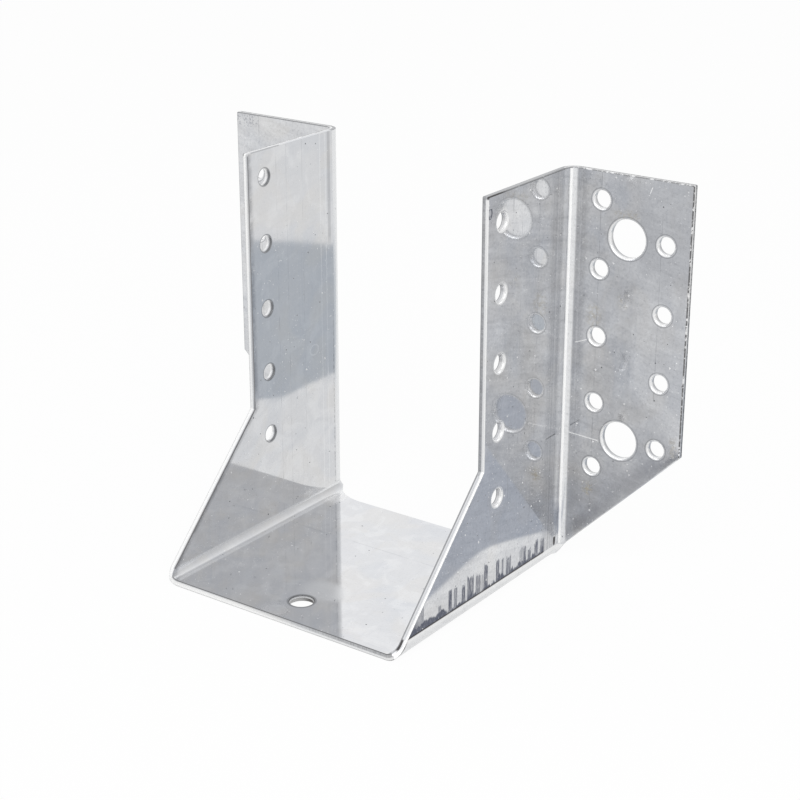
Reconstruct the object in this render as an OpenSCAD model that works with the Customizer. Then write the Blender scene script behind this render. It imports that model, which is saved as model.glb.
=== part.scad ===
// Joist hanger with outward header flanges, folded from one punched steel sheet.
// Frame: x = 0 on the centre line, y = 0 on the face that meets the header,
// z = 0 on the top of the seat. The joist comes in along +Y and rests on the seat.

/* [Joist channel] */
// Clear width between the two side plates
joist_w = 80; // [60:1:120]
// Height of the side plates above the top of the seat
plate_h = 118; // [110:1:180]
// Reach of the seat, from the header face to its front edge
seat_reach = 84; // [76:1:96]
// Reach of the upper side plates, from the header face to their front edge
plate_reach = 44; // [40:1:50]
// Gap from the header face to the seat's rear edge
seat_rear_gap = 8.2; // [7:0.1:10]
// Height of the knee where the plate's front edge starts to slant forward
knee_h = 40; // [36:1:44]

/* [Sheet] */
// Thickness of the sheet
sheet_t = 2; // [1.5:0.1:2.5]
// Inside radius of the two bends along the seat
seat_bend_r = 2.5; // [2:0.1:3]
// Inside radius of the two upright bends at the header
flange_bend_r = 2.5; // [2:0.1:3]
// Radius of the relief curve at each rear corner of the seat
relief_r = 15; // [13:0.5:15.5]
// Distance from the plate's inside face to where the relief curve leaves the seat's straight edge
relief_run = 12; // [11.5:0.1:13]
// Rounding of the hole rims on the side that the punch entered
rim_round = 0.4; // [0.2:0.05:0.5]

/* [Header flanges] */
// Width of each flange, from the plate's inside face to the flange's outer edge
flange_w = 40; // [38:1:48]
// Height at which the flange's outer edge turns into the slanted lower edge
corner_h = 39; // [36:1:42]
// Height at which the slanted lower edge meets the side plate
foot_h = 1; // [0.5:0.1:2]

/* [Holes] */
// Diameter of the nail holes
nail_d = 5; // [4:0.1:5.5]
// Diameter of the bolt holes
bolt_d = 11; // [9:0.5:13]
// Distance between nail holes along a column
nail_pitch = 20; // [18:1:22]
// Height of the lowest nail hole above the seat
first_nail_h = 30; // [28:1:34]
// Least distance from the highest nail hole to the plate's top edge
top_edge = 8; // [6:1:10]
// Distance from the joist nails to the plate's front edge
joist_nail_edge = 7; // [6:0.5:9]
// Distance from the plate's inside face to the inner column of header nails
inner_column = 12; // [11:0.5:13]
// Distance from the plate's inside face to the bolt holes
bolt_column = 20.5; // [19.5:0.5:21]
// Distance from the plate's inside face to the outer column of header nails
outer_column = 32.5; // [32:0.5:34]
// Distance from the seat's nail hole to the seat's front edge
seat_nail_edge = 11; // [8:0.5:16]

/* [Hidden] */
$fn = 64;
eps = 0.01;
// How far a cut runs past the sheet
past = 5 * sheet_t;

plate_in = joist_w / 2;
plate_out = plate_in + sheet_t;
half_w = plate_in + flange_w;
seat_bend_out = seat_bend_r + sheet_t;
flange_bend_out = flange_bend_r + sheet_t;
// Where the flat plate ends and the upright bend begins
bend_start_y = -flange_bend_out;
bend_axis_x = plate_out + flange_bend_r;
joist_nail_y = -plate_reach + joist_nail_edge;
seat_nail_y = -seat_reach + seat_nail_edge;
// Full nail rows that fit under the top edge
nail_rows = floor((plate_h - first_nail_h - top_edge) / nail_pitch + 0.001) + 1;
// The outer column and the bolts stand half a pitch above the inner column
outer_first_h = first_nail_h + nail_pitch / 2;
bolt_heights = [outer_first_h, outer_first_h + (nail_rows - 2) * nail_pitch];
// Centre of the relief curve, tangent to the seat's straight rear edge
relief_x = plate_in - relief_run;
relief_y = -seat_rear_gap + relief_r;
slant_run = half_w - plate_out;
slant_rise = corner_h - foot_h;

// Quarter of a ring in the corner below and left of its centre
module quarter_ring(inner_r, outer_r) {
    intersection() {
        difference() {
            circle(r = outer_r);
            circle(r = inner_r);
        }
        translate([-outer_r, -outer_r]) square(outer_r);
    }
}

// Left half of the channel's cross-section: seat, bend and side plate
module half_channel_profile() {
    translate([-plate_in + seat_bend_r, -sheet_t]) square([plate_in - seat_bend_r, sheet_t]);
    translate([-plate_in + seat_bend_r, seat_bend_r]) quarter_ring(seat_bend_r, seat_bend_out);
    translate([-plate_out, seat_bend_r]) square([sheet_t, plate_h - seat_bend_r]);
}

module channel_profile() {
    half_channel_profile();
    mirror([1, 0]) half_channel_profile();
}

// Side view of the channel: upright edge, knee, slanted edge down to the seat's front
module side_outline() {
    polygon([
        [0, -sheet_t],
        [0, plate_h],
        [-plate_reach, plate_h],
        [-plate_reach, knee_h],
        [-seat_reach, 0],
        [-seat_reach, -sheet_t]
    ]);
}

// Folded channel, from the front of the seat back to where the upright bends begin
module channel() {
    intersection() {
        translate([0, bend_start_y, 0])
            rotate([90, 0, 0])
                linear_extrude(seat_reach + bend_start_y) channel_profile();
        translate([-plate_out - past, 0, 0])
            rotate([90, 0, 90])
                linear_extrude(2 * plate_out + 2 * past) side_outline();
    }
}

// Section of plate and seat bend, measured outward from the upright bend's axis
module bend_profile() {
    translate([flange_bend_r, seat_bend_r]) square([sheet_t, plate_h - seat_bend_r]);
    translate([flange_bend_out + seat_bend_r, seat_bend_r])
        quarter_ring(seat_bend_r, seat_bend_out);
    translate([flange_bend_out + seat_bend_r, -sheet_t]) square(sheet_t);
}

// Upright bend on the right, turned from the plate round to the flange
module upright_bend() {
    translate([bend_axis_x, bend_start_y, 0])
        rotate([0, 0, 90])
            rotate_extrude(angle = 90) bend_profile();
}

module flange_plate() {
    translate([bend_axis_x, -sheet_t, 0])
        cube([half_w - bend_axis_x, sheet_t, plate_h]);
}

// Prism under the slanted lower edge of the right flange
module below_slant() {
    run = slant_run + 2 * sheet_t + past;
    rise = slant_rise * run / slant_run;
    x0 = plate_out - 2 * sheet_t;
    z0 = foot_h - 2 * sheet_t * slant_rise / slant_run;
    translate([0, past, 0])
        rotate([90, 0, 0])
            linear_extrude(2 * past)
                polygon([[x0, z0], [x0 + run, z0 + rise], [x0 + run, -past], [x0, -past]]);
}

// Where the two bends meet, nothing stands behind the header face
module behind_bends() {
    translate([relief_x, 0, -past])
        cube([bend_axis_x - relief_x, past, past + seat_bend_r]);
}

module right_flange() {
    difference() {
        union() {
            upright_bend();
            flange_plate();
        }
        below_slant();
        behind_bends();
    }
}

// Cut behind the seat, with a round run-out at each rear corner
module seat_relief() {
    translate([0, 0, -past])
        linear_extrude(plate_h + 2 * past) {
            translate([-relief_x, -seat_rear_gap]) square([2 * relief_x, 2 * relief_r]);
            translate([relief_x, relief_y]) circle(r = relief_r, $fn = 128);
            translate([-relief_x, relief_y]) circle(r = relief_r, $fn = 128);
        }
}

// Punched hole through the sheet: it starts at z = 0 and runs along +Z, rim rounded at z = 0
module punched_hole(d) {
    translate([0, 0, -sheet_t]) cylinder(h = 3 * sheet_t, d = d);
    translate([0, 0, -eps]) cylinder(h = rim_round + eps, r1 = d / 2 + rim_round, r2 = d / 2);
}

// Joist nails in the right side plate
module joist_nail_holes() {
    for (row = [0 : nail_rows - 1])
        translate([plate_out, joist_nail_y, first_nail_h + row * nail_pitch])
            rotate([0, -90, 0]) punched_hole(nail_d);
}

// One hole in the right flange, from its front face
module header_hole(column, height, d) {
    translate([plate_in + column, -sheet_t, height])
        rotate([-90, 0, 0]) punched_hole(d);
}

module header_holes() {
    for (row = [0 : nail_rows - 1])
        header_hole(inner_column, first_nail_h + row * nail_pitch, nail_d);
    for (row = [0 : nail_rows - 2])
        header_hole(outer_column, outer_first_h + row * nail_pitch, nail_d);
    for (height = bolt_heights)
        header_hole(bolt_column, height, bolt_d);
}

module right_holes() {
    joist_nail_holes();
    header_holes();
}

module joist_hanger() {
    color([0.74, 0.75, 0.77])
        difference() {
            union() {
                channel();
                right_flange();
                mirror([1, 0, 0]) right_flange();
            }
            seat_relief();
            right_holes();
            mirror([1, 0, 0]) right_holes();
            translate([0, seat_nail_y, -sheet_t]) punched_hole(nail_d);
        }
}

joist_hanger();
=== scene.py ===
from functools import reduce
from math import cos, pi, radians, sin, sqrt

import bpy
import numpy as np
from bpy.props import FloatProperty, FloatVectorProperty, IntProperty, PointerProperty
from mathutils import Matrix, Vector
from mathutils.geometry import delaunay_2d_cdt


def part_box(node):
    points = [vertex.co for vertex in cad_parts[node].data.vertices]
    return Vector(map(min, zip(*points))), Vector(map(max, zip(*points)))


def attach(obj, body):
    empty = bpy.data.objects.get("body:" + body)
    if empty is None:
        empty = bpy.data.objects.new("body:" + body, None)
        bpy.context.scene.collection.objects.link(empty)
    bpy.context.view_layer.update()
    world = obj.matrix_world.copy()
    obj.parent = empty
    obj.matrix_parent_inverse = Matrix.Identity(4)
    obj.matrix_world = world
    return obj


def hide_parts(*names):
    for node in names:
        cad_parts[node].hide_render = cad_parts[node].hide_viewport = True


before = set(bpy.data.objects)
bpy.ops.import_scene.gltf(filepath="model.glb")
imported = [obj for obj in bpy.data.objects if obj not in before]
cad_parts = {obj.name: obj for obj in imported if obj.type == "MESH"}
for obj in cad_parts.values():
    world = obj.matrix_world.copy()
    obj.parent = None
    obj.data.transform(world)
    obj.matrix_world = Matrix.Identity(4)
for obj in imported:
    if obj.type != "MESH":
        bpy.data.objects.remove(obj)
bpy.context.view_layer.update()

bl_info = {
    "name": "Joist hanger",
    "version": (1, 0, 0),
    "blender": (4, 5, 0),
    "location": "3D View > Sidebar > Hanger",
    "description": "Joist hanger folded from one punched galvanised sheet, with its studio",
    "category": "Object",
}

CAD_NODE = "joist_hanger"
LOW, HIGH = (np.array(corner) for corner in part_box(CAD_NODE))
MM = 0.001
CAMERA_PLACE = 0.2960, -0.4357, 0.2403
CAMERA_AZIMUTH, CAMERA_PITCH = radians(35.80), radians(20.98)


def length(name, default, description):
    """A size in metres, shown in the scene's own unit."""
    return FloatProperty(
        name=name, default=default, description=description, unit="LENGTH", min=0.0, precision=5
    )


def tint(name, default, description):
    """A linear colour."""
    return FloatVectorProperty(
        name=name, default=default, description=description, subtype="COLOR", size=3, min=0, max=1
    )


def share(name, default, description, top=1.0):
    """A plain number from nought to top."""
    return FloatProperty(name=name, default=default, description=description, min=0.0, max=top)


class HangerSheet(bpy.types.PropertyGroup):
    """Sizes of the folded sheet."""

    thickness: length("Sheet", 2 * MM, "Thickness of the sheet")
    joist: length("Joist", 80 * MM, "Clear width between the side plates")
    plate_top: length("Plate height", HIGH[2], "Height of the side plates above the seat")
    seat_reach: length("Seat reach", -LOW[1], "Header face to the seat's front edge")
    plate_reach: length("Plate reach", 44 * MM, "Header face to the upper plates' front edge")
    knee: length("Knee", 40 * MM, "Height at which the plate's front edge starts to slant")
    seat_gap: length("Seat gap", 8.2 * MM, "Header face to the seat's rear edge")
    seat_bend: length("Seat bend", 2.5 * MM, "Inside radius of the bends along the seat")
    upright_bend: length("Upright bend", 2.5 * MM, "Inside radius of the bends at the header")
    relief: length("Relief", 15 * MM, "Radius of the relief curve at the seat's rear corners")
    relief_run: length("Relief run", 12 * MM, "Side plate to where the relief curve starts")
    half_width: length("Half width", HIGH[0], "Centre line to a flange's outer edge")
    corner: length("Corner", 39 * MM, "Height at which the flange's outer edge turns in")
    foot: length("Foot", 1 * MM, "Height at which the slanted lower edge meets the plate")
    corner_round: length("Corner round", 0.45 * MM, "Rounding of the blank's corners")
    edge_roll: length("Edge roll", 0.3 * MM, "Rounding of the cut edges on the punched side")
    edge_burr: length("Edge burr", 0.07 * MM, "Rounding of the cut edges on the burr side")
    tear: FloatProperty(
        name="Tear", default=radians(5), subtype="ANGLE", description="Lean of a cut's torn half"
    )


class HangerHoles(bpy.types.PropertyGroup):
    """Sizes and places of the punched holes."""

    nail: length("Nail hole", 5 * MM, "Diameter of the nail holes")
    bolt: length("Bolt hole", 11 * MM, "Diameter of the bolt holes")
    seat_bore: length("Seat hole", 7 * MM, "Diameter of the seat's hole, wider than a nail's")
    pitch: length("Pitch", 20 * MM, "Distance between the nail holes of a column")
    first: length("First row", 30 * MM, "Height of the lowest nail hole above the seat")
    rows: IntProperty(name="Rows", default=5, min=2, description="Nail holes in a full column")
    joist_nails: length("Joist nails", 37 * MM, "Header face to the joist nails' column")
    seat_nail: length("Seat nail", 73 * MM, "Header face to the seat's nail hole")
    inner: length("Inner column", 52 * MM, "Centre line to the inner column of header nails")
    bolts: length("Bolts", 60.5 * MM, "Centre line to the bolt holes")
    outer: length("Outer column", 72.5 * MM, "Centre line to the outer column of header nails")
    rim_roll: length("Rim roll", 0.62 * MM, "Rounding of the rims on the punched side")
    rim_burr: length("Rim burr", 0.1 * MM, "Rounding of the rims on the burr side")
    rim_band: length("Rim band", 0.35 * MM, "Width of the worked band round each rim")


class HangerFinish(bpy.types.PropertyGroup):
    """Colours and gloss of the zinc."""

    zinc: tint("Zinc", (0.705, 0.712, 0.732), "Bright zinc")
    blue_zinc: tint("Blue zinc", (0.63, 0.655, 0.70), "Duller bluish patches")
    # Fresh metal also gives the painted highlight of the bends
    fresh: tint("Fresh metal", (0.85, 0.857, 0.87), "Bright specks, scratches and worn edges")
    # Dust also gives painted highlights of bends, crease, rims and edges, and a painted reflection
    dust: tint("Dust", (0.93, 0.93, 0.93), "White dust and fresh scratches")
    # Pit also gives painted shade along the bends and on the flange
    pit_and_painted_shade: tint("Pit", (0.10, 0.105, 0.12), "Dark pits and tool marks")
    press: tint("Press marks", (0.10, 0.11, 0.15), "Dark marks above the seat's bends")
    # Torn metal also gives painted shade on rims and the left plate's hole walls
    torn: tint("Torn metal", (0.22, 0.225, 0.235), "Dull metal on the cut edges")
    seam: tint("Seam", (0.035, 0.03, 0.03), "Near-black lines at creases and burrs")
    warm: tint("Warm zinc", (0.735, 0.72, 0.70), "Warmer patches")
    stain: tint("Stain", (0.42, 0.34, 0.17), "Dry yellow-brown stains")
    gloss: share("Roughness", 0.055, "Roughness of the flat zinc")
    cut_roughness: share("Cut roughness", 0.24, "Roughness of the cut edges")
    wave: share("Waviness", 0.055, "Height of the sheet's slow waves in millimetres")


class HangerStudio(bpy.types.PropertyGroup):
    """Floor, light and camera."""

    floor: tint("Floor", (0.90, 0.90, 0.895), "Colour of the floor")
    backdrop: tint("Backdrop", (1.0, 1.0, 1.0), "Colour behind the object")
    table: tint("Table", (0.93, 0.93, 0.925), "The lit floor as the metal shows it")
    shaded: tint("Shaded table", (0.525, 0.56, 0.60), "Its shaded place behind the hanger")
    shaded_right: tint("Shaded right", (0.45, 0.48, 0.54), "The darker part of that, on the right")
    shaded_front: tint("Shaded front", (0.60, 0.61, 0.63), "Its shaded place in front")
    fill: share("Fill", 0.68, "Strength of the light from all round", 4.0)
    key: share("Key", 2.2, "Brightness of the soft light in front", 50.0)
    lens: FloatProperty(name="Lens", default=82.8, min=10, description="Focal length in mm")


# The blank and how it folds


def columns(*parts):
    """One row for each point, from its values in separate arrays."""
    return np.stack(parts, -1)


class Blank:
    """The flat blank, in metres: p runs across the seat and up the plates, q to the header and
    out along the flanges, and depth from 0 on the seat's top to the thickness underneath."""

    def __init__(self, sheet):
        self.sheet = sheet
        self.mid_seat = sheet.seat_bend + sheet.thickness / 2
        self.mid_upright = sheet.upright_bend + sheet.thickness / 2
        self.plate_in = sheet.joist / 2
        self.plate_out = self.plate_in + sheet.thickness
        self.flat = self.plate_in - sheet.seat_bend
        self.seat_arc = self.mid_seat * pi / 2
        self.axis_x = self.plate_out + sheet.upright_bend
        self.bend_y = -(sheet.upright_bend + sheet.thickness)
        self.upright_arc = self.mid_upright * pi / 2
        # Added to a height or a sideways place, these give the blank's own coordinates
        self.rise = self.flat + self.seat_arc - sheet.seat_bend
        self.out = self.bend_y + self.upright_arc - self.axis_x

    def fold(self, p, q, depth):
        """Place of a blank point and three directions there: out through the punched side,
        along p and along q. Across the seat's bend the section turns by phi = (|p| - flat) /
        mid radius, so x = flat + (r + depth) sin phi and z = r - (r + depth) cos phi. The
        section then turns by theta = (q - start) / mid radius about the upright bend's axis,
        at distance axis - x. The left half is the right half's mirror image."""
        sheet = self.sheet
        side = np.where(p < 0, -1.0, 1.0)
        a = np.abs(p)
        phi = np.clip((a - self.flat) / self.mid_seat, 0, pi / 2)
        theta = np.clip((q - self.bend_y) / self.mid_upright, 0, pi / 2)
        radius = sheet.seat_bend + depth
        x = np.minimum(a, self.flat) + radius * np.sin(phi)
        z = sheet.seat_bend - radius * np.cos(phi)
        z = z + np.maximum(a - self.flat - self.seat_arc, 0)
        arm = self.axis_x - x
        beyond = np.maximum(q - self.bend_y - self.upright_arc, 0)
        sp, cp, st, ct = np.sin(phi), np.cos(phi), np.sin(theta), np.cos(theta)
        return (
            columns(
                side * (self.axis_x - arm * ct + beyond), np.minimum(q, self.bend_y) + arm * st, z
            ),
            columns(side * sp * ct, -sp * st, -cp),
            columns(cp * ct, -side * cp * st, side * sp),
            columns(side * st, ct, 0 * st),
        )

    def corner_run(self, phi):
        """q of the blank's edge at the angle phi round the seat's bend, where the relief curve
        and then the flange's slanted edge cut both bends. At each phi the mid surface turns
        away from y = bend_y; the first theta at which it enters the relief circle or drops
        below the slanted edge ends the sheet."""
        sheet = self.sheet
        x = self.flat + self.mid_seat * np.sin(phi)
        z = sheet.seat_bend - self.mid_seat * np.cos(phi)
        arm = (self.axis_x - x)[:, None]
        theta = np.linspace(0, pi / 2, 721)[None, :]
        across = self.axis_x - arm * np.cos(theta)
        back = self.bend_y + arm * np.sin(theta)
        centre = self.plate_in - sheet.relief_run, sheet.relief - sheet.seat_gap
        in_relief = np.hypot(across - centre[0], back - centre[1]) < sheet.relief
        slope = (sheet.corner - sheet.foot) / (sheet.half_width - self.plate_out)
        below = z[:, None] < sheet.foot + slope * (across - self.plate_out)
        ends = in_relief | below | (back > 0)
        first = np.where(ends.any(1), ends.argmax(1), theta.size - 1)
        return self.bend_y + self.mid_upright * theta[0, first]

    def outline(self):
        """Closed outline of the blank, anticlockwise, as corner points and the rounding of
        each. The right half is walked from the middle of the seat's front edge, round the
        plate and the flange, to the middle of its rear edge; the left half is its mirror."""
        s = self.sheet
        quarter = np.linspace(0, pi / 2, 13)

        def run(p0, q0, p1, q1, step=2.5 * MM):
            count = max(2, int(np.hypot(p1 - p0, q1 - q0) / step) + 1)
            return columns(np.linspace(p0, p1, count), np.linspace(q0, q1, count))

        top = s.plate_top + self.rise
        knee = s.knee + self.rise
        edge = s.half_width + self.out
        front = -s.seat_reach
        slope = (s.seat_reach - s.plate_reach) / s.knee
        height = s.seat_bend - self.mid_seat * np.cos(quarter)
        bend_p = self.flat + self.mid_seat * quarter
        bend_q = front + slope * np.maximum(height, 0)
        arc_q = self.bend_y + self.mid_upright * quarter
        slant = (s.half_width - self.plate_out) / (s.corner - s.foot)
        reach = self.axis_x - self.plate_out - slant * (s.seat_bend - s.foot)
        reach = np.arccos(np.clip(reach / self.mid_upright, -1, 1))
        turn = np.linspace(pi / 2, reach, 5)
        turn_x = self.axis_x - self.mid_upright * np.cos(turn)
        turn_z = s.foot + (turn_x - self.plate_out) / slant
        phi = quarter[::-1]
        start = np.arcsin((s.relief_run - s.seat_bend) / s.relief)
        relief = np.linspace(start, 0, 10)
        relief_p = self.plate_in - s.relief_run + s.relief * np.sin(relief)
        relief_q = s.relief - s.seat_gap - s.relief * np.cos(relief)
        half = np.concatenate([
            run(0, front, self.flat, front)[:-1],
            columns(bend_p, bend_q),
            run(bend_p[-1], bend_q[-1], knee, -s.plate_reach)[1:],
            run(knee, -s.plate_reach, top, -s.plate_reach)[1:],
            run(top, -s.plate_reach, top, self.bend_y)[1:-1],
            columns(0 * arc_q + top, arc_q),
            run(top, arc_q[-1], top, edge)[1:],
            run(top, edge, s.corner + self.rise, edge)[1:],
            run(s.corner + self.rise, edge, turn_z[0] + self.rise, arc_q[-1])[1:-1],
            columns(turn_z + self.rise, self.bend_y + self.mid_upright * turn)[:-1],
            columns(self.flat + self.mid_seat * phi, self.corner_run(phi))[:-1],
            columns(relief_p, relief_q),
            run(relief_p[-1], relief_q[-1], 0, relief_q[-1])[1:],
        ])
        mirrored = half[1:-1][::-1] * [-1, 1]
        return rounded(np.concatenate([half, mirrored]), s.corner_round)

    def hole_places(self, holes):
        """Centre p, q and radius of every hole of the blank."""
        rows = holes.first + holes.pitch * np.arange(holes.rows)
        between = rows[:-1] + holes.pitch / 2
        right = np.concatenate([
            columns(z + self.rise, 0 * z + q, 0 * z + size / 2)
            for z, q, size in (
                (rows, -holes.joist_nails, holes.nail),
                (rows, holes.inner + self.out, holes.nail),
                (between, holes.outer + self.out, holes.nail),
                (between[[0, -1]], holes.bolts + self.out, holes.bolt),
            )
        ])
        seat = np.array([[0, -holes.seat_nail, holes.seat_bore / 2]])
        return np.concatenate([right, right * [-1, 1, 1], seat])


def rounded(points, radius, samples=5, least=radians(25)):
    """A closed anticlockwise line with each corner turned into an arc, and its normals. Where
    the line turns by tau, the arc starts radius tan(tau / 2) before the corner, and its normal
    turns evenly from one segment's to the next one's. A gentle corner keeps its one point."""
    step = np.roll(points, -1, 0) - points
    step /= np.linalg.norm(step, axis=1, keepdims=True)
    # Normals to the right of the segments after and before each point
    after = columns(step[:, 1], -step[:, 0])
    before = np.roll(after, 1, 0)
    cross = before[:, 0] * after[:, 1] - before[:, 1] * after[:, 0]
    turn = np.arctan2(cross, (before * after).sum(1))
    sharp = np.abs(turn) > least
    count = np.where(sharp, samples, 1)
    index = np.repeat(np.arange(len(points)), count)
    order = np.arange(count.sum()) - np.repeat(np.cumsum(count) - count, count)
    angle = turn[index] * np.where(sharp[index], order / (samples - 1), 0.5)
    (u, v), ca, sa = before[index].T, np.cos(angle), np.sin(angle)
    normal = columns(u * ca - v * sa, u * sa + v * ca)
    bend = np.where(sharp, radius * np.sign(turn), 0.0)[index, None]
    middle = before + after
    middle /= np.linalg.norm(middle, axis=1, keepdims=True)
    centre = points[index] - bend * middle[index] / np.cos(turn / 2)[index, None]
    return centre + bend * normal, normal


def hole_loop(p, q, radius, count):
    """A hole's line, clockwise, so the sheet lies on its left, and normals to its middle."""
    turn = np.linspace(0, -2 * pi, count, endpoint=False)
    spoke = columns(np.cos(turn), np.sin(turn))
    return np.array([p, q]) + radius * spoke, -spoke


def edge_profile(thickness, roll, burr, band, lean):
    """How far in from a cut edge the surface lies, how deep in the sheet, and the tilt of its
    normal, from the punched side through the wall to the burr side. Each rim is a quarter
    round: inset = r (1 - sin tilt), and depth follows r (1 - cos tilt) from its face. The
    lower half of the wall, where the sheet tore, leans back by the angle lean."""
    torn, crack = thickness * 0.52, 0.04 * MM
    back = (torn - burr) * np.tan(lean)
    upper = np.linspace(0, pi / 2, 6)
    lower = np.linspace(pi / 2 + lean, pi, 4)
    inset = roll * (1 - np.sin(upper)), [0.0, 0.0], back + burr * (1 - np.sin(lower))
    depth = (
        thickness - roll * (1 - np.cos(upper)),
        [torn + crack, torn - crack],
        burr * (1 + np.cos(lower)),
    )
    tilt = upper, [pi / 2, pi / 2 + lean], lower
    rows = columns(*(np.concatenate(part) for part in (inset, depth, tilt)))
    if band > 0:
        rows = np.vstack([[roll + band, thickness, 0.0], rows, [back + burr + band, 0.0, pi]])
    return rows.T


def inside(points, line):
    """Whether each point lies inside a closed line, by counting the line's crossings of the
    ray along +p from the point."""
    x, y = points[:, :1], points[:, 1:]
    ax, ay = line[:, 0], line[:, 1]
    bx, by = np.roll(ax, -1), np.roll(ay, -1)
    spans = (ay > y) != (by > y)
    meets = ax + (y - ay) * (bx - ax) / np.where(by == ay, 1.0, by - ay)
    return (spans & (x < meets)).sum(1) % 2 == 1


def inner_points(blank, outline, holes):
    """Points inside the blank: a fine grid across each bend, so that it curves smoothly, and
    a wide grid over the flats, with some room along the outline and round each hole."""
    fine, wide, edge_room, hole_room = 1.6 * MM, 3 * MM, 0.42 * MM, 1.4 * MM
    sheet = blank.sheet
    steps = np.linspace(0, pi / 2, 15)
    bend_p = blank.flat + blank.mid_seat * steps
    bend_q = blank.bend_y + blank.mid_upright * steps
    along_q = np.concatenate([np.arange(-sheet.seat_reach, blank.bend_y, fine), bend_q])
    top = sheet.plate_top + blank.rise
    along_p = np.arange(bend_p[-1] + fine, top, fine)
    flat_q = np.arange(-sheet.seat_reach, sheet.half_width + blank.out, wide)
    flat_p = np.concatenate(
        [np.arange(0, blank.flat - MM, wide), np.arange(bend_p[-1] + wide, top, wide)]
    )
    flat_q = flat_q[(flat_q < bend_q[0] - MM) | (flat_q > bend_q[-1] + MM)]
    grids = (bend_p, along_q), (along_p, bend_q), (flat_p, flat_q)
    right = [columns(*(side.ravel() for side in np.meshgrid(*grid))) for grid in grids]
    right = np.concatenate(right)
    points = np.concatenate([right, right[right[:, 0] > 0] * [-1, 1]])
    points = points[inside(points, outline)]
    gap = np.hypot(*(points[:, None, :] - outline[None]).transpose(2, 0, 1)).min(1)
    points = points[gap > edge_room]
    room = np.hypot(*(points[:, None, :] - holes[None, :, :2]).transpose(2, 0, 1))
    return points[(room > holes[None, :, 2] + hole_room).all(1)]


def triangulated(loops, extra):
    """Triangles of the blank between its lines, with the extra points as further corners. The
    lines stay whole, and a triangle is kept where its middle lies inside the outline and
    outside every hole."""
    scale = 1000.0
    points = np.concatenate([*loops, extra]) * scale
    starts = np.cumsum([0] + [len(line) for line in loops])
    edges = np.concatenate([
        columns(a + np.arange(b - a), a + (np.arange(b - a) + 1) % (b - a))
        for a, b in zip(starts, starts[1:])
    ])
    made = delaunay_2d_cdt([Vector(row) for row in points.tolist()], edges.tolist(), [], 0, 1e-7)
    if len(made[0]) != len(points):
        raise RuntimeError("the blank's lines cross or touch")
    triangles = np.array(made[2])
    middles = points[triangles].mean(1)
    keep = inside(middles, loops[0] * scale)
    for line in loops[1:]:
        centre = line.mean(0) * scale
        near = np.hypot(*(middles - centre).T) < np.hypot(*(line[0] * scale - centre))
        keep &= ~near
    triangles = triangles[keep]
    a, b, c = points[triangles].transpose(1, 0, 2)
    area = np.cross(b - a, c - a)
    flip = area < 0
    triangles[flip] = triangles[flip][:, ::-1]
    return triangles[np.abs(area) > 1e-9]


def sheet_mesh(sheet, holes):
    """The folded sheet as one closed mesh. Each face is the triangulated blank at its own
    depth, and each cut edge is its profile carried along the edge's line; every point is then
    folded, and takes the exact normal of the surface it lies on."""
    blank = Blank(sheet)
    places = blank.hole_places(holes)
    t, lean = sheet.thickness, sheet.tear
    edge = edge_profile(t, sheet.edge_roll, sheet.edge_burr, 0, lean)
    rim = edge_profile(t, holes.rim_roll, holes.rim_burr, holes.rim_band, lean)
    profiles = [edge] + [rim] * len(places)
    # A hole's line has 18 points a millimetre of its radius, in whole fours
    lines = [blank.outline()]
    for p, q, radius in places:
        lines.append(hole_loop(p, q, radius, int(round(radius / MM * 18 / 4)) * 4))
    sizes = [len(points) for points, _ in lines]
    starts = np.cumsum([0] + sizes)
    extra = inner_points(blank, lines[0][0], places)

    table, faces, quads, count = [], [], [], 0

    def add(points, normals, *shared):
        """Adds rows with a shared depth, tilt and cut, and gives the number of the first."""
        nonlocal count
        table.append(np.hstack([points, normals, np.tile(shared, (len(points), 1))]))
        count += len(points)
        return count - len(points)

    def row(line, profile, k):
        points, normals = line
        return points - profile[0][k] * normals

    first, last = [], []
    for depth, tilt, end, store, order in (
        (t, 0.0, 0, first, (2, 1, 0)), (0.0, pi, -1, last, (0, 1, 2))
    ):
        loops = [row(line, profile, end) for line, profile in zip(lines, profiles)]
        triangles = triangulated(loops, extra)
        whole = np.concatenate([*loops, extra])
        start = add(whole, 0 * whole, depth, tilt, 0.0)
        store.extend(start + starts[:-1])
        faces.append(start + triangles[:, order])

    for line, profile, size, top, bottom in zip(lines, profiles, sizes, first, last):
        rows = [top]
        for k in range(1, len(profile[0]) - 1):
            rows.append(add(row(line, profile, k), line[1], profile[1][k], profile[2][k], 1.0))
        rows.append(bottom)
        here = np.arange(size)
        after = (here + 1) % size
        upper, lower = np.array(rows[:-1])[:, None], np.array(rows[1:])[:, None]
        corners = upper + here, upper + after, lower + after, lower + here
        quads.append(columns(*(corner.ravel() for corner in corners)))

    p, q, normal_p, normal_q, depth, tilt, cut = np.concatenate(table).T.copy()
    place, outward, across, along = blank.fold(p, q, depth)
    sideways = normal_p[:, None] * across + normal_q[:, None] * along
    normal = np.cos(tilt)[:, None] * outward + np.sin(tilt)[:, None] * sideways
    normal /= np.linalg.norm(normal, axis=1, keepdims=True)
    fields = {
        "blank_p": p, "blank_q": q, "blank_depth": depth, "cut": cut, "wall": cut * np.sin(tilt)
    }
    return place, normal, np.concatenate(faces), np.concatenate(quads), fields


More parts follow.
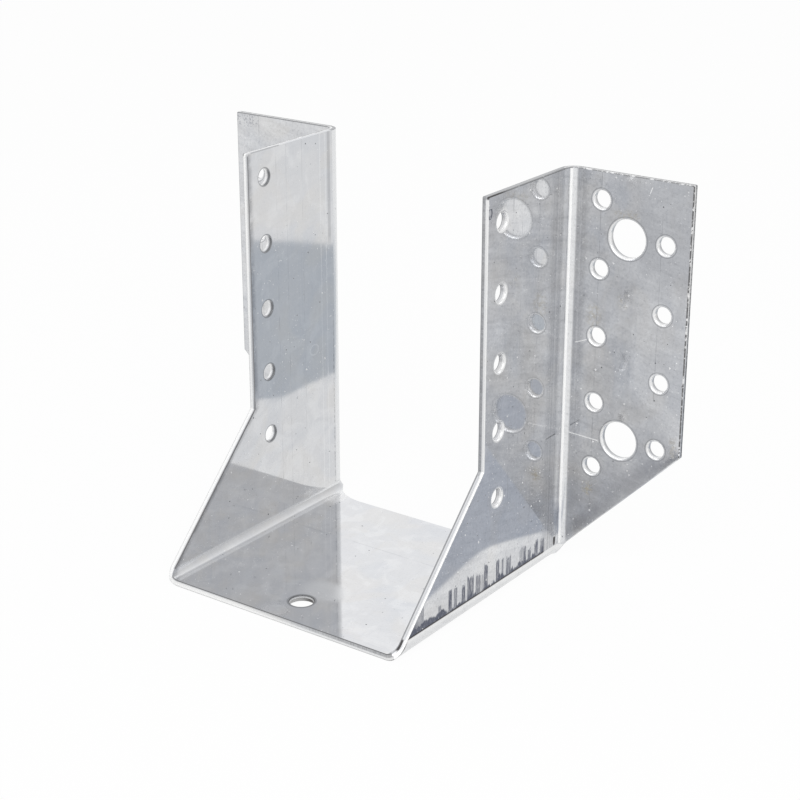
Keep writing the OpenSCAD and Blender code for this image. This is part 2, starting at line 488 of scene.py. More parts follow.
def new_object(name, points, normals, triangles, quads, fields):
    """A mesh object at the origin from whole arrays, smooth, with exact vertex normals and one
    float attribute for each field."""
    mesh = bpy.data.meshes.new(name)
    corners = np.concatenate([triangles.ravel(), quads.ravel()]).astype(np.int32)
    totals = np.repeat([3, 4], [len(triangles), len(quads)]).astype(np.int32)
    mesh.vertices.add(len(points))
    mesh.vertices.foreach_set("co", points.astype(np.float32).ravel())
    mesh.loops.add(len(corners))
    mesh.loops.foreach_set("vertex_index", corners)
    mesh.polygons.add(len(totals))
    mesh.polygons.foreach_set("loop_start", (np.cumsum(totals) - totals).astype(np.int32))
    mesh.update(calc_edges=True)
    if mesh.validate(verbose=False):
        raise RuntimeError(f"{name} has faulty faces")
    mesh.shade_smooth()
    mesh.normals_split_custom_set_from_vertices(normals.tolist())
    for field, values in fields.items():
        attribute = mesh.attributes.new(field, "FLOAT", "POINT")
        attribute.data.foreach_set("value", values.astype(np.float32))
    made = bpy.data.objects.new(name, mesh)
    bpy.context.scene.collection.objects.link(made)
    return made


# Shader maths


class Tap:
    """A shader socket that takes part in ordinary arithmetic. Each operator adds a Math node;
    node() adds any other one."""

    def __init__(self, tree, socket):
        self.tree, self.socket = tree, socket

    def put(self, target, value):
        if isinstance(value, Tap):
            self.tree.links.new(value.socket, target)
        else:
            target.default_value = value

    def node(self, kind, settings=None, out=0, **values):
        """The output out of a new node. Settings come first; values name sockets, with an
        underscore and a number for one that has no name of its own."""
        made = self.tree.nodes.new(kind)
        for name, value in (settings or {}).items():
            if name == "steps":
                ramp = made.color_ramp
                ramp.interpolation = "CONSTANT"
                ramp.elements.remove(ramp.elements[1])
                for at, *levels in value:
                    ramp.elements.new(at).color = (*levels, 0, 1)
            else:
                setattr(made, name, value)
        for name, value in values.items():
            key = int(name[1:]) if name[0] == "_" else name.replace("_", " ")
            self.put(made.inputs[key], value)
        return Tap(self.tree, made.outputs[out])

    def outputs(self, kind, settings=None, **values):
        """All outputs of a new node."""
        made = self.node(kind, settings, **values)
        return [Tap(self.tree, socket) for socket in made.socket.node.outputs]

    def rays(self, *kinds):
        """For each kind of ray, 1 where the ray is of that kind."""
        path = self.tree.nodes.new("ShaderNodeLightPath")
        return [Tap(self.tree, path.outputs[f"Is {kind} Ray"]) for kind in kinds]

    def math(self, operation, *values, clamp=False):
        numbered = {f"_{i}": value for i, value in enumerate(values)}
        return self.node(
            "ShaderNodeMath", {"operation": operation, "use_clamp": clamp}, **numbered
        )

    def __add__(self, other): return self.math("ADD", self, other)
    def __radd__(self, other): return self.math("ADD", other, self)
    def __sub__(self, other): return self.math("SUBTRACT", self, other)
    def __rsub__(self, other): return self.math("SUBTRACT", other, self)
    def __mul__(self, other): return self.math("MULTIPLY", self, other)
    def __rmul__(self, other): return self.math("MULTIPLY", other, self)
    def __truediv__(self, other): return self.math("DIVIDE", self, other)
    def __rtruediv__(self, other): return self.math("DIVIDE", other, self)
    def __pow__(self, other): return self.math("POWER", self, other)
    def __abs__(self): return self.math("ABSOLUTE", self)
    def __lt__(self, other): return self.math("LESS_THAN", self, other)
    def __gt__(self, other): return self.math("GREATER_THAN", self, other)

    def clamped(self):
        return self.math("ADD", self, 0, clamp=True)

    def least(self, other):
        return self.math("MINIMUM", self, other)

    def most(self, *others):
        return reduce(lambda one, other: self.math("MAXIMUM", one, other), others, self)

    def ramp(self, low, high, to_low=0, to_high=1):
        """Smoothly from to_low to to_high as the value goes from low to high."""
        return self.node(
            "ShaderNodeMapRange", {"interpolation_type": "SMOOTHSTEP"},
            _0=self, _1=low, _2=high, _3=to_low, _4=to_high,
        )

    def band(self, low, high, soft):
        """1 between low and high, falling to nought over soft on either side."""
        return self.ramp(low - soft, low) * self.ramp(high + soft, high)

    def mixed(self, other, amount):
        """This colour turned into another by amount, which the node keeps from 0 to 1."""
        return self.node(
            "ShaderNodeMix", {"data_type": "RGBA"}, out=2, _0=amount, _6=self, _7=other
        )


def oval(across, up, wide, tall):
    """Squared distance from an oval's middle, 1 on its rim; across and up start there."""
    across, up = across / wide, up / tall
    return across * across + up * up


class Finish:
    """A material being written: its tree, its coordinates in millimetres and its patterns."""

    def __init__(self, name):
        self.material = bpy.data.materials.new(name)
        self.material.use_nodes = True
        self.tree = self.material.node_tree
        self.tree.nodes.clear()
        self.output = self.tree.nodes.new("ShaderNodeOutputMaterial")
        self.start = Tap(self.tree, None)
        place = self.start.node("ShaderNodeTexCoord", out=3)
        self.place = self.start.node(
            "ShaderNodeVectorMath", {"operation": "SCALE"}, _0=place, Scale=1000
        )
        self.x, self.y, self.z = self.start.outputs("ShaderNodeSeparateXYZ", _0=self.place)
        normal = self.start.node("ShaderNodeTexCoord", out=1)
        self.right, self.back, self.up = self.start.outputs("ShaderNodeSeparateXYZ", _0=normal)

    def attribute(self, name):
        return self.start.node("ShaderNodeAttribute", {"attribute_name": name}, out=2)

    def vector(self, x, y, z):
        return self.start.node("ShaderNodeCombineXYZ", _0=x, _1=y, _2=z)

    def noise(self, size, vector=None, detail=2, roughness=0.5, distortion=0):
        """Even noise with features about size millimetres across, centred on 0.5."""
        return self.start.node(
            "ShaderNodeTexNoise", Vector=vector or self.place, Scale=1 / size,
            Detail=detail, Roughness=roughness, Distortion=distortion,
        )

    def parts(self, colour):
        return self.start.outputs("ShaderNodeSeparateColor", _0=colour)

    def colour(self, value):
        made = self.start.node("ShaderNodeRGB")
        made.socket.default_value = (*value, 1)
        return made

    def specks(self, vector, size, radius, kept):
        """Round spots up to radius millimetres, one in each kept cell of size millimetres."""
        distance, colour = self.start.outputs(
            "ShaderNodeTexVoronoi", {"voronoi_dimensions": "2D"}, Vector=vector, Scale=1 / size
        )[:2]
        chosen, large, _ = self.parts(colour)
        reach = radius / size * (0.4 + 0.6 * large)
        return (reach - distance).ramp(0, 0.35 * radius / size) * (chosen < kept)

    def finish(self, surface):
        """The material, with this surface."""
        self.tree.links.new(surface.socket, self.output.inputs[0])
        return self.material


class SheetFinish(Finish):
    """A finish that follows the blank: p, q and depth are the blank's coordinates in
    millimetres, and far is the distance of p from the centre line. Punched is 1 on the punched
    side and inner on the other, wall on a cut edge and face off it. Skin is the plane of the
    blank with its two sides apart. Cloud, fine and grain are noise of three sizes, and streak
    follows the rolling direction."""

    def __init__(self, name):
        super().__init__(name)
        self.p, self.q, self.depth = (
            self.attribute(field) * 1000 for field in ("blank_p", "blank_q", "blank_depth")
        )
        self.cut, self.wall = self.attribute("cut"), self.attribute("wall")
        self.far = abs(self.p)
        self.punched = self.depth > 1
        self.inner, self.face = 1 - self.punched, 1 - self.wall
        self.left, self.left_plate = self.x < 0, self.x < -39
        self.skin = self.vector(self.p + 700 * self.punched, self.q, 0)
        self.cloud = self.noise(22, detail=3, roughness=0.6)
        self.fine = self.noise(3.2, detail=4, roughness=0.65)
        self.grain = self.noise(0.85, self.skin, detail=3, roughness=0.8)
        self.streak = self.rolled(1.3, 0.012, detail=4)

    def rolled(self, across, along=0.02, detail=3, roughness=0.65):
        """Noise drawn out along the rolling direction, with across lines a millimetre."""
        drawn = self.vector(self.p * along, self.q * across, self.punched * 9)
        return self.noise(1, drawn, detail=detail, roughness=roughness)

    def score(self, q, half):
        """A thin line along the rolling direction at q, broken up along its length."""
        broken = self.noise(5, self.vector(self.p, q, 3), detail=3).ramp(0.38, 0.6)
        return (abs(self.q - q) * -1 + half).ramp(0, half) * broken

    def scratch(self, x0, z0, x1, z1, half):
        """A straight scratch of the flanges from one point to another."""
        run = sqrt((x1 - x0) ** 2 + (z1 - z0) ** 2)
        ux, uz = (x1 - x0) / run, (z1 - z0) / run
        along = (self.x - x0) * ux + (self.z - z0) * uz
        across = abs((self.z - z0) * ux - (self.x - x0) * uz)
        return (half - across).ramp(0, half) * along.band(0, run, 0.4)

    def blot(self, x, z, wide, tall, strength):
        """A soft ragged patch about a point of the flanges."""
        ragged = self.noise(2.4, detail=4, roughness=0.7) * 1.1
        return (oval(self.x - x, self.z - z, wide, tall) + ragged).ramp(1.45, 0.55) * strength


# All places and sizes of marks are in millimetres. Scores: q, and half their width
PLATE_SCORES = ((-31.6, 0.13), (-27, 0.12), (-19.6, 0.1))
FLANGE_SCORES = ((8.3, 0.16), (27.6, 0.14))
# Scratches of the right flange: x and z of both ends, and half their width
SCRATCHES = (
    (44, 38.9, 53.6, 38.5, 0.24), (45.2, 67, 48.8, 68.4, 0.2), (66.9, 114, 67.5, 115.6, 0.2)
)
# Dry stains of the right flange: x and z, half their width and height, and their strength
STAINS = (
    (50.8, 22.8, 2.6, 2.8, 1), (50.8, 76, 3.4, 5, 0.7), (60, 106.5, 5.5, 2.6, 0.6),
    (60, 82, 2.8, 3.2, 0.6), (78, 42, 1.8, 4.5, 0.6),
)
# Where the press's dark marks start and end along the seat's bend, how tall they are and how
# strong. The last one runs on to where the crease ends
PRESS_MARKS = (
    (-78, -72.7, 7.2, 0.6), (-65.9, -64.4, 4.4, 0.7), (-60.8, -59.3, 7.4, 1),
    (-58.4, -56.5, 7, 0.75), (-54.2, -52.8, 6, 0.95), (-51.6, -48.4, 7.2, 0.9),
    (-47.3, -44.7, 6.4, 0.75), (-44.4, -43.1, 6.2, 0.45), (-43.1, -41.2, 7.9, 1),
    (-36.9, -35.3, 7.2, 0.95), (-33.9, -33, 6.6, 0.8), (-31.8, -29, 6.2, 0.85),
    (-24.6, -22.3, 6.2, 0.5), (-22.3, -20.8, 5.6, 1), (-19.8, -18.2, 4.2, 0.9),
    (-16.2, -14.4, 5.4, 0.9), (-12.8, -11.4, 5, 0.85),
)
SEAT_FRONT = -84
KNEE = 40


def press_marks(f):
    """Dark marks that the press left above the crease on the outer side of the seat's bends: a
    skyline of striped bars over a low wavy band, and a wedge at the front. The seam is a
    near-black line along the crease, with a spot at its rear end and a hook at the front. Below
    the crease the bend is painted pale, a painted highlight, and most of all next to it. Spots: a
    ring near the right plate's upper corner, and speckles near the left flange's."""
    q, far, z = f.q, f.far, f.z
    rise = far - (43.34 - 0.0132 * q)
    along = q + 3.1 * (f.p < 0)
    steps = []
    for start, end, tall, strength in PRESS_MARKS:
        at = 1 - start / SEAT_FRONT
        if steps and abs(steps[-1][0] - at) < 0.001:
            steps.pop()
        steps += [(at, tall / 10, strength), (1 - end / SEAT_FRONT, 0, 0)]
    # A ramp takes 32 steps, so the last one is left out
    place = 1 - along / SEAT_FRONT
    skyline = f.start.node("ShaderNodeValToRGB", {"steps": steps[:-1]}, Fac=place)
    tall, strength, _ = f.parts(skyline)
    front = q.ramp(-59, -64)
    ragged = f.noise(1.1, f.vector(along, far * 0.5, 0), detail=3, roughness=0.7) - 0.5
    ragged = ragged * (1 - 0.35 * front)
    hills = f.noise(3.4, f.vector(along, 5, 0))
    spikes = (f.noise(0.6, f.vector(along, 7, far * 0.1)) - 0.5) * (3.6 - 2.6 * front)
    low = hills.ramp(0.32, 0.72, 0.7, 2.3) * (1 - front) + front * hills.ramp(0.3, 0.7, 1.8, 3)
    fill = f.noise(1, f.vector(along * 2.4, far * 0.24, 0), detail=3, roughness=0.7)
    bars = ((tall * 10 + 5 * ragged) * (tall > 0.05) - rise).ramp(0, 0.8) * strength
    band = (low + ragged * 0.6 + spikes - rise).ramp(0, 0.8)
    marks = (bars * fill.ramp(0.36, 0.56, 0.45, 1)).most(
        band * fill.ramp(0.34, 0.5, 0.72, 1),
        q.ramp(-73, -77) * rise.ramp(7, 0.5, 0.4, 0.95),
    )
    crease, skin = q.ramp(-10.2, -11.2), f.punched * (1 - f.cut)
    marks = (marks * (rise > 0) * crease * skin * (far > 43)).clamped()
    hook = (q - SEAT_FRONT - (far - 40.3).most(0)).band(0.1, 0.6, 0.2)
    seam = (rise.band(-0.2, 0.12, 0.2) * crease).most(
        oval(q + 4.9, far - 44.9, 0.75, 1.7).ramp(1.2, 0.5) * 0.9,
        hook * far.band(41, 43.6, 0.4) * 0.85,
    )
    # Painted highlight: the bend below the crease is pale, and whiter next to the crease
    below = rise.ramp(0, -0.3) * f.punched * (far > 37.5)
    ring = oval(f.y + 43.2, z - 113.5, 1.1, 1.7).band(0.45, 0.95, 0.3) * (f.x > 41) * (z < 114.6)
    speckled = f.grain.ramp(0.5, 0.6) * f.x.ramp(-69, -73) * z.ramp(112, 115) * f.punched
    spots = (ring * 0.8).most(speckled * 0.5) * f.face
    return marks, seam * skin * f.face, below, below * rise.ramp(-1.9, -0.7), spots


def bend_lines(f):
    """White, pale and grey lines along the start of each upright bend, and a matt band in its
    hollow. The white line and the pale bands are a painted highlight of the bend, and the grey
    lines and the streaky grey band before it are painted shade. Pale also are the seat's bends,
    a painted highlight, and a patch and a small round scuff on the inner side; grey also is a
    band of painted shade on the inner side above 84 mm. White is a painted reflection: the faded
    end of the seat's mirrored plate."""
    q, far, inner = f.q, f.far, f.inner
    hollow, round_side = (far > 43.5) * f.punched, (far > 43.5) * inner
    scuff = oval(f.y + 15.2, f.z - 50.8, 2.1, 1.7).band(0.85, 1.05, 0.25)
    # Painted highlight along the bends, with a patch and a scuff on the inner side
    pale = (hollow * q.band(-1.7, 0.7, 0.3) * q.ramp(-1.7, 0.9, 0.8, 0.3)).most(
        hollow * q.band(-3.8, -3.4, 0.2) * 0.4,
        round_side * q.ramp(-5.2, -4.6),
        round_side * (q.band(-11.1, -10.9, 0.2) + q.band(-8.5, -8.3, 0.2)) * 0.5,
        inner * (far.band(42.3, 42.9, 0.2) + far.band(38, 42, 2) * 0.22),
        inner * oval(f.p - 1.5, q + 64.5, 7.5, 5.5).ramp(1.7, 0.3) * 0.75,
        inner * scuff * f.left_plate * 0.6,
    )
    dotted = q.band(-5.6, -5.3, 0.2) * f.grain.ramp(0.44, 0.56) * f.z.ramp(64, 52)
    # Painted shade along the upright bends, with a dotted line low on the left inner side
    grey = (hollow * q.band(-3.15, -2.95, 0.2) * 0.18).most(
        hollow * q.band(-9.8, -7.2, 3.4) * f.streak.ramp(0.35, 0.6, 0.05, 0.24),
        round_side * q.band(-7.2, -6.3, 0.5) * f.z.ramp(82, 86) * 0.26,
        round_side * f.left * dotted * 0.4,
    )
    # Painted highlight: a white line in the upright bend's hollow
    line = hollow * q.band(-2.4, -1.7, 0.35)
    # Painted reflection: the faded end of the plate mirrored in the seat
    painted_reflection_tip = inner * f.p.band(-37.5, -34, 1.6) * q.ramp(-17, -11) * 0.6
    matt = hollow * q.band(-11, -5.5, 2.5)
    return line * f.face, pale * f.face, grey * f.face, painted_reflection_tip * f.face, matt


def cut_edges(f):
    """Cut edges: a worn bright band, a grey torn one and a dark burr. Where the coil was slit,
    the torn band is darker and the bright one breaks up at the rim. On the seat's front and the
    left plate's front edge the torn band is bright between thin dark lines, a painted highlight.
    Rims that face up or to the right get a painted highlight; rims on the punched side that face
    down or to the left, and the left plate's hole walls, get painted shade. Gives how worn, how
    glinting with painted highlight, how dark from torn metal and painted shade and how near-black
    a place is, and the torn metal's strokes."""
    p, q, far, depth, cut, wall, left = f.p, f.q, f.far, f.depth, f.cut, f.wall, f.left
    strokes = f.noise(1, f.vector(p * 1.9, q * 1.9, depth * 0.35), detail=4, roughness=0.75)
    dashes = f.noise(1, f.vector(p * 0.8, q * 0.8, depth * 0.3), detail=3, roughness=0.8)
    # Kinds of cut edge
    slit = f.z.ramp(117, 117.6).most(abs(f.x).ramp(79.2, 79.7))
    plate, front, seat = q < -5, q < -43.4, far < 40
    clean, top = slit * left * plate, slit * plate * (1 - left)
    bright = front * seat.most(left)
    slant = front * (1 - bright) * (f.z < 39)
    right = front * seat * p.ramp(-20, 30)
    bore = (far < 6) * (abs(q + 73) < 6)
    torn = wall * depth.ramp(1.15, 0.95)
    joined = 0.14 * left * (q > 0) + 0.1 * top
    rim = cut * depth.ramp(1.35, 1.6) * slit * (dashes + joined).ramp(0.4, 0.5)

    worn = wall * (depth - 0.3 * slant).ramp(1.05, 1.25) * (1 - bore)
    worn = worn * (1 - 0.8 * top) * (1 - 0.5 * right)
    # Painted highlight: rims that face up or to the right are painted as catching the light
    painted_glint = cut * depth.ramp(1.36, 1.5) * (f.up + 0.5 * f.right).ramp(0.15, 0.6)
    # Painted highlight: a bright strip on the seat's and the left plate's front edges
    strip = depth.band(0.62, 1.62, 0.1) * (1 - 0.9 * right)
    strip = strip * (1 - left * (far > 42.5) * (1 - depth.band(0.85, 1.45, 0.1)))
    painted_glint = (painted_glint * (1 - slit) * (1 - bright)).most(wall * bright * strip)
    amount = 0.3 + 0.6 * slit - 0.8 * clean - 0.26 * bright + 0.4 * front * (1 - bright)
    amount = amount - 0.64 * slant + 0.65 * right - 0.3 * top
    # Painted shade: the left plate's holes are dark next to the inner side, at the back and below
    shade = (f.back * -0.9 + f.up * 0.4).ramp(0.1, 0.6) * left * q.band(-42, -30, 1)
    rolled = cut.band(0.3, 0.7, 0.25) * f.punched
    # Dark torn metal, with painted shade on rims and the left plate's hole walls
    dark = (torn * amount * strokes.ramp(0.35, 0.62, 1, 0.6)).most(
        rim * 0.9,
        cut * depth.ramp(0.4, 0.22) * (0.8 - 0.7 * clean),
        cut * bright * depth.ramp(1.7, 1.82) * 0.8,
        slant * cut * depth.band(0.28, 0.5, 0.06) * 0.75,
        slant * cut * depth.band(0.98, 1.08, 0.05) * 0.4,
        # Painted shade on the punched side's rims that face down or to the left
        rolled * (0.5 - 0.9 * f.up - 0.35 * f.right).clamped(),
        cut * shade * depth.ramp(0.95, 0.55),
        wall * top * 0.62,
    )
    # Burrs, the seat hole's far wall, slit edges, a spot at the right corner and the front rims
    rims = depth.ramp(0.3, 0.12).most(depth.ramp(1.72, 1.84))
    burr = cut * front * left * depth.ramp(0.6, 0.4) * (far > 42.5)
    black = (burr * f.z.ramp(44, 38, 0.14, 0.6)).most(
        rim * top * q.ramp(-33, -39) * 0.8,
        bore * cut * depth.ramp(0.65, 0.9) * f.x.ramp(-3.5, 1, 0.5, 0.9),
        slit * (q > 0) * torn * strokes.ramp(0.35, 0.62, 0.55, 0.15),
        rim * (f.x > 79) * 0.5,
        slant * cut * depth.band(0.35, 0.95, 0.1) * f.z.band(1.6, 3.4, 0.5) * 0.9,
        cut * front * seat * rims * 0.45,
    )
    return worn, painted_glint, dark, black, strokes


def zinc_finish(look):
    """Bright rolled zinc: slow waves, fine rolling lines, bluish clouds, white dust, dark pits,
    dry stains, and the marks of bends, press and cut edges, with painted highlights, painted
    reflections and painted shade among them. A mark is a strength from 0 to 1, and the colours
    are laid over one another in order."""
    f = SheetFinish("galvanised sheet")
    p, q, far, z, punched, inner, face = f.p, f.q, f.far, f.z, f.punched, f.inner, f.face
    cloud, fine, grain, streak = f.cloud, f.fine, f.grain, f.streak
    flange = (f.y > -2.4) * (f.x > 44) * face
    # Bend lines, press marks and cut edges also give painted highlights and shade
    line, pale, grey, painted_reflection_tip, matt = bend_lines(f)
    marks, seam, below, painted_crease_highlight, spots = press_marks(f)
    worn, painted_glint, dark, black, strokes = cut_edges(f)

    # Hazy strokes that lie across the plates, slow clouds, warm patches and rolling lines
    drawn = f.vector(p * 0.5 + q * 0.1, q * 0.07, punched * 5)
    veil = f.noise(1, drawn, detail=4, roughness=0.7, distortion=0.4) - 0.5
    haze = f.noise(9, detail=4, roughness=0.55, distortion=1) - 0.5
    warmth = f.noise(16, f.vector(f.y, z, f.x + 40), distortion=0.8).ramp(0.48, 0.64) * 0.4
    hairs = (f.rolled(6, 0.03) - 0.5).ramp(0.12, 0.25)
    outer_side = 0.25 + 0.75 * punched
    fresh = (grain.ramp(0.5, 0.72) * 0.42 + veil.ramp(0, 0.16) * 0.26) * outer_side
    fresh = fresh + hairs * 0.14 + haze.ramp(0, 0.14) * 0.3

    # Dust gathers where the clouds are thick, and low on the plates' outer sides
    gather = cloud.ramp(0.35, 0.62, 0.2, 1).most(z.ramp(58, 34) * punched)
    gather = gather * f.noise(5, f.skin, detail=1).ramp(0.42, 0.6, 0.15, 1)
    dust = f.specks(f.skin, 1.7, 0.18, 0.36).most(f.specks(f.skin, 4.6, 0.34, 0.6)) * gather
    dust = dust.most(f.specks(f.skin, 1.3, 0.12, 0.06)) * face
    pits = f.specks(f.skin, 5.6, 0.3, 0.3) * face
    dried = f.noise(1.1, detail=3, roughness=0.8).ramp(0.42, 0.6) * 0.42
    stains = reduce(Tap.most, (f.blot(*row) for row in STAINS)) * flange * dried

    # Scores, scratches and scuffs
    scores = reduce(Tap.most, (f.score(*row) for row in PLATE_SCORES)) * (far > 43)
    scores = scores.most(*(f.score(*row) for row in FLANGE_SCORES))
    scores = scores.most(f.score(-33, 0.14) * inner * (far < 38)) * face
    scratch = reduce(Tap.most, (f.scratch(*row) for row in SCRATCHES)) * flange
    scuffs = f.noise(1, f.vector((p + q) * 0.28, (p - q) * 2.6, f.depth), detail=3) - 0.5
    scuffs = scuffs.ramp(0.17, 0.27) * f.noise(14, detail=1).ramp(0.5, 0.62)
    # Painted reflection: the flange is a little brighter in a place that ends in straight lines,
    # as the rest of it is painted darker; painted shade also darkens it towards the bottom
    lit = f.x.ramp(62.8, 63.6) * z.ramp(89, 86) * (z + 0.63 * f.x).ramp(96, 97.4)
    # The left plate is a little darker along its front edge
    gap = q - SEAT_FRONT - z.least(KNEE)
    nick = q.band(-11.4, -6.4, 0.3) * z.band(39.1, 39.3, 0.15) * fine.ramp(0.4, 0.5)
    dull_and_painted_shade = sum((
        scuffs * 0.2,
        scores * 0.34,
        (streak - 0.5).ramp(0.14, 0.26) * 0.1,
        grain.ramp(0.5, 0.28) * 0.2 * outer_side,
        (veil.ramp(0, -0.16) * 0.08 + haze.ramp(0, -0.14) * 0.05) * outer_side,
        # Painted shade of the flange outside its lit place, and more towards the bottom
        flange * (0.06 * (1 - lit) + 0.11 * z.ramp(46, 22)),
        gap.ramp(2.3, 0.3) * fine.ramp(0.3, 0.6, 0.1, 0.42) * inner * f.left_plate,
        (nick * 0.5 + z.ramp(14, 6) * (q < -5) * 0.06) * punched,
    )) * face

    from_seat_hole = oval(f.x, f.y + 73, 1, 1) ** 0.5
    base = f.colour(look.zinc)
    for colour, amount in (
        (look.blue_zinc, cloud.ramp(0.46, 0.66) * 0.4 + streak.ramp(0.5, 0.72) * 0.35),
        (look.warm, warmth),
        (look.fresh, fresh),
        # Painted highlight of the bends, with a patch and a scuff, and below the crease
        (look.fresh, pale.most(below * face * 0.85)),
        # Dullness and marks, with painted shade on the flange and grey along the bends
        (look.pit_and_painted_shade, dull_and_painted_shade + grey),
        (look.press, marks.most(spots)),
        (look.seam, seam),
        (look.stain, stains),
        (look.pit_and_painted_shade, pits * 0.8),
        # Dust and scratches, with painted highlights of the bends and crease and a painted
        # reflection
        (look.dust, dust + scratch + line + painted_reflection_tip * 0.9 + painted_crease_highlight * 0.6),
        # Worn cut edges, and the painted highlight of rims and front edges
        (look.dust, (worn * 0.8).most(painted_glint * 0.9)),
        # Torn metal, and painted shade on rims and the left plate's hole walls
        (look.torn, dark),
        (look.seam, black),
        (look.pit_and_painted_shade, from_seat_hole.band(4.05, 4.2, 0.15) * inner * (far < 6) * 0.45),
    ):
        base = base.mixed((*colour, 1), amount)

    soft_patch = oval(p + 2.7, q + 81.3, 3.8, 3.2).ramp(3.2, 0.2) * inner * face
    rough = sum((
        look.gloss + 0.04 * (fine - 0.5) + 0.06 * (cloud - 0.5),
        0.04 * hairs, 0.16 * pale, 0.14 * below, 0.3 * stains, 0.15 * marks, 0.2 * dull_and_painted_shade,
        (look.cut_roughness - look.gloss) * f.wall, 0.15 * dark, 0.3 * (dust + pits),
        0.25 * soft_patch, 0.14 * matt, 0.12 * z.ramp(40, 26) * flange,
    ))
    relief = sum((
        f.noise(34, detail=1) * look.wave, f.noise(11, detail=1) * 0.006,
        streak * 0.0008, grain * 0.0008, dust * 0.02, pits * -0.03, strokes * f.wall * 0.008,
        marks * -0.01, scores * -0.006,
    ))
    # Dust, scratches, stains, worn edges and the painted highlights and reflection are less
    # metallic
    metal = 1 - 0.95 * dust - 0.8 * (scratch + line + painted_reflection_tip) - 0.5 * stains
    metal = metal - 0.35 * worn - 0.4 * painted_glint
    return f.finish(f.start.node(
        "ShaderNodeBsdfPrincipled", Base_Color=base, Metallic=metal.clamped(),
        Roughness=rough.clamped(),
        Normal=f.start.node("ShaderNodeBump", Strength=1, Distance=0.001, Height=relief),
    ))


def floor_finish(look):
    """A pale floor that fades into the white backdrop for the eye and keeps the object's soft
    shadow. In the metal it shows as a lit table with two shaded places. The one behind the
    hanger lies right of x = 31 and of the curve x = 64.4 - 0.14 t - 0.31 sqrt(t^2 + 36), where
    t = y + 9.5, and ends at x = 180 and y + 0.43 x = 286. In front of y = 56 it also lies left
    of a line that runs back from the right plate's foot, and it is darker where x > y. The one
    in front is a soft rectangle, darker in its far half."""
    f = Finish("studio floor")
    x, y = f.x, f.y

    t = y + 9.5
    curve = 64.4 - 0.14 * t - 0.31 * (t * t + 36) ** 0.5 - 0.25 * (y - 35).most(0)
    line = ((x - 44) * 139 - (y + 84) * 59) / 151
    behind = (x - curve.most(31)).ramp(-0.9, 0.9) * x.ramp(180, 174)
    behind = behind * (y + 0.43 * x).ramp(286, 281.5)
    behind = behind * line.ramp(5, 1).most(y.ramp(56, 60))
    front = x.ramp(-180, -145) * x.ramp(38, 12) * y.ramp(-94, -118)
    front = front * y.ramp(-460, -425) * y.ramp(-240, -300, 0.76, 1)
    shaded = f.colour(look.shaded).mixed((*look.shaded_right, 1), (x - y).ramp(-18, -2))
    table = f.colour(look.table).mixed(shaded, behind)
    table = table.mixed((*look.shaded_front, 1), front)
    plain = f.start.node("ShaderNodeBsdfDiffuse", Color=(*look.floor, 1))
    glow = f.start.node("ShaderNodeEmission", Color=(*look.backdrop, 1), Strength=1)
    shown = f.start.node("ShaderNodeEmission", Color=table, Strength=1)
    eye, glossy = f.start.rays("Camera", "Glossy")
    seen = f.start.node("ShaderNodeMixShader", Fac=eye * 0.95, _1=plain, _2=glow)
    return f.finish(f.start.node("ShaderNodeMixShader", Fac=glossy * 0.85, _1=seen, _2=shown))


class HANGER_OT_sheet(bpy.types.Operator):
    """Make the folded, punched sheet and its zinc"""

    bl_idname = "hanger.sheet"
    bl_label = "Folded sheet"

    def execute(self, context):
        scene = context.scene
        piece = new_object("folded_sheet", *sheet_mesh(scene.hanger_sheet, scene.hanger_holes))
        piece.data.materials.append(zinc_finish(scene.hanger_finish))
        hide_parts(CAD_NODE)
        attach(piece, "root")
        return {"FINISHED"}


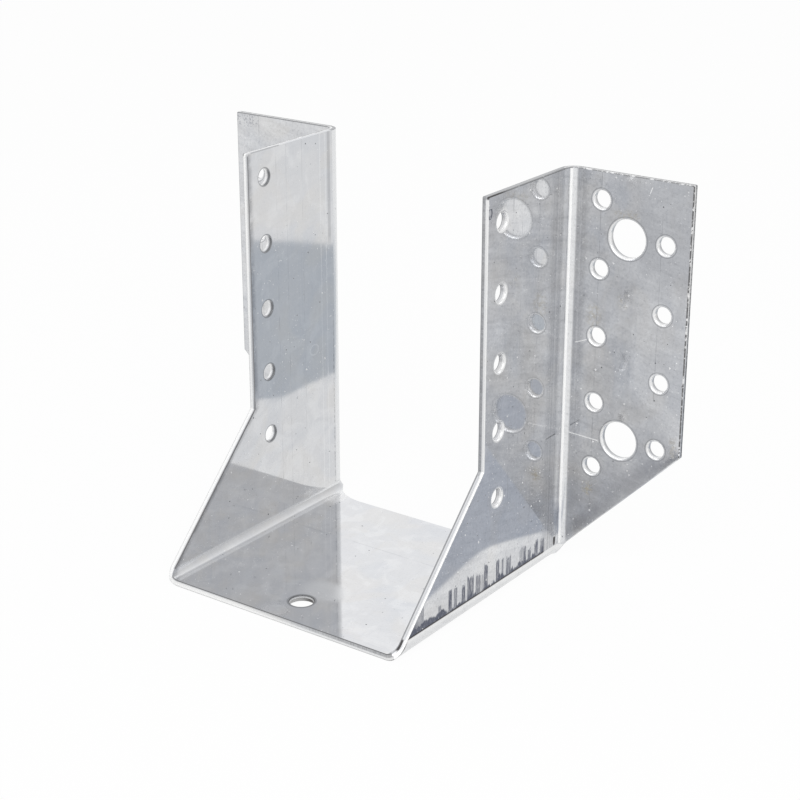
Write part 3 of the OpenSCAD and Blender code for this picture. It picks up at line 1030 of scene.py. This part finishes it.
class HANGER_OT_stage(bpy.types.Operator):
    """Make the floor, the light and the camera"""

    bl_idname = "hanger.stage"
    bl_label = "Studio"

    def execute(self, context):
        look = context.scene.hanger_studio
        self.floor(look)
        self.light(context.scene, look)
        self.camera(context.scene, look)
        context.scene.view_settings.view_transform = "Standard"
        return {"FINISHED"}

    def floor(self, look):
        """A level square under the seat, as a grid of two parameters."""
        half, count = 6.0, 9
        u, v = np.meshgrid(np.linspace(-half, half, count), np.linspace(-half, half, count))
        points = columns(u.ravel(), v.ravel(), np.full(u.size, LOW[2]))
        cell = (np.arange(count - 1)[:, None] * count + np.arange(count - 1)).ravel()
        quads = columns(cell, cell + 1, cell + count + 1, cell + count)
        normals = np.tile([0.0, 0.0, 1.0], (len(points), 1))
        made = new_object("floor", points, normals, np.zeros((0, 3), int), quads, {})
        made.data.materials.append(floor_finish(look))

    def light(self, scene, look):
        """Even light from all round, and one large soft light in front on the right."""
        world = bpy.data.worlds.new("studio")
        scene.world = world
        world.use_nodes = True
        tree = world.node_tree
        tree.nodes.clear()
        start = Tap(tree, None)
        eye, glossy, through = start.rays("Camera", "Glossy", "Transmission")
        # The metal sees the white backdrop a little brighter on the left than on the right
        place = start.node("ShaderNodeTexCoord", out=0)
        sideways, _, up = start.outputs("ShaderNodeSeparateXYZ", _0=place)
        shine = (0.88 - 0.26 * sideways + 0.08 * up).most(0.0)
        mirrored = glossy.most(through)
        strength = look.fill + (1.0 - look.fill) * eye + (shine - look.fill) * mirrored
        back = start.node("ShaderNodeBackground", Color=(*look.backdrop, 1), Strength=strength)
        output = tree.nodes.new("ShaderNodeOutputWorld")
        tree.links.new(back.socket, output.inputs[0])
        # A square lamp that faces the object; its power is radiance times pi times its area
        size, distance, middle = 0.8, 0.95, Vector((0.0, -0.03, 0.05))
        aim = Vector((0.42, -0.62, 0.66)).normalized()
        lamp = bpy.data.lights.new("key", "AREA")
        lamp.size = size
        lamp.energy = look.key * pi * size * size
        made = bpy.data.objects.new("key", lamp)
        made.location = middle + aim * distance
        made.rotation_euler = aim.to_track_quat("Z", "Y").to_euler()
        scene.collection.objects.link(made)

    def camera(self, scene, look):
        """The photograph's viewing angle, without roll or shift."""
        data = bpy.data.cameras.new("camera")
        data.lens = look.lens
        data.sensor_width = 36.0
        data.clip_start, data.clip_end = 0.01, 50.0
        level = cos(CAMERA_PITCH)
        view = -sin(CAMERA_AZIMUTH) * level, cos(CAMERA_AZIMUTH) * level, -sin(CAMERA_PITCH)
        made = bpy.data.objects.new("camera", data)
        made.location = CAMERA_PLACE
        made.rotation_euler = Vector(view).to_track_quat("-Z", "Y").to_euler()
        scene.collection.objects.link(made)
        scene.camera = made


class HANGER_PT_panel(bpy.types.Panel):
    """Lists the hanger's pieces and sizes"""

    bl_idname = "HANGER_PT_panel"
    bl_label = "Joist hanger"
    bl_space_type = "VIEW_3D"
    bl_region_type = "UI"
    bl_category = "Hanger"

    def draw(self, context):
        scene = context.scene
        for operator in (HANGER_OT_sheet, HANGER_OT_stage):
            self.layout.operator(operator.bl_idname)
        for name, kind in GROUPS:
            box = self.layout.box()
            box.label(text=name.split("_")[1].title())
            for field in kind.__annotations__:
                box.prop(getattr(scene, name), field)


GROUPS = (
    ("hanger_sheet", HangerSheet),
    ("hanger_holes", HangerHoles),
    ("hanger_finish", HangerFinish),
    ("hanger_studio", HangerStudio),
)
CLASSES = (HANGER_OT_sheet, HANGER_OT_stage, HANGER_PT_panel)


def register():
    for name, group in GROUPS:
        bpy.utils.register_class(group)
        setattr(bpy.types.Scene, name, PointerProperty(type=group))
    for made in CLASSES:
        bpy.utils.register_class(made)


def unregister():
    for made in reversed(CLASSES):
        bpy.utils.unregister_class(made)
    for name, group in reversed(GROUPS):
        delattr(bpy.types.Scene, name)
        bpy.utils.unregister_class(group)


def main():
    register()
    bpy.ops.hanger.stage()
    bpy.ops.hanger.sheet()


if __name__ == "__main__":
    main()
